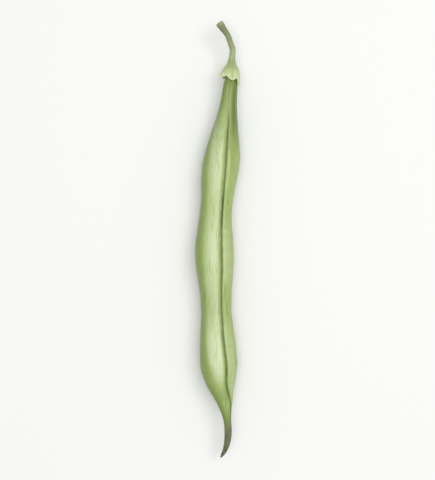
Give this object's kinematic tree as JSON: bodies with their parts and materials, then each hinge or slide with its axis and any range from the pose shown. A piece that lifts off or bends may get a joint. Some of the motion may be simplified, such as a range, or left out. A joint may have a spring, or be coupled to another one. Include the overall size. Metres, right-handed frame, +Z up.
{
  "type": "green bean",
  "caption": "Fresh green bean pod lying on its side, swollen over its seeds, with a hooked beak at one end and a toothed calyx on a short curved stalk at the other.",
  "frame": {"origin": "on the surface that the bean lies on, under the middle of the whole bean's box", "axes": "+Z up from the surface, +Y along the bean to the stalk and -Y to the beak, +X towards the upper seam"},
  "size_m": [0.0132, 0.1278, 0.0106],
  "materials": {
    "pod_skin": "fresh waxy plant skin, satin, mid green with a pale green sheen over the swellings",
    "calyx_skin": "soft yellow-green sepal, matte with fine down",
    "stalk_skin": "grooved grey-green stem, matte with fine down"
  },
  "bodies": {
    "root": {"pod": "pod_skin", "calyx": "calyx_skin", "stalk": "stalk_skin"}
  },
  "joints": []
}
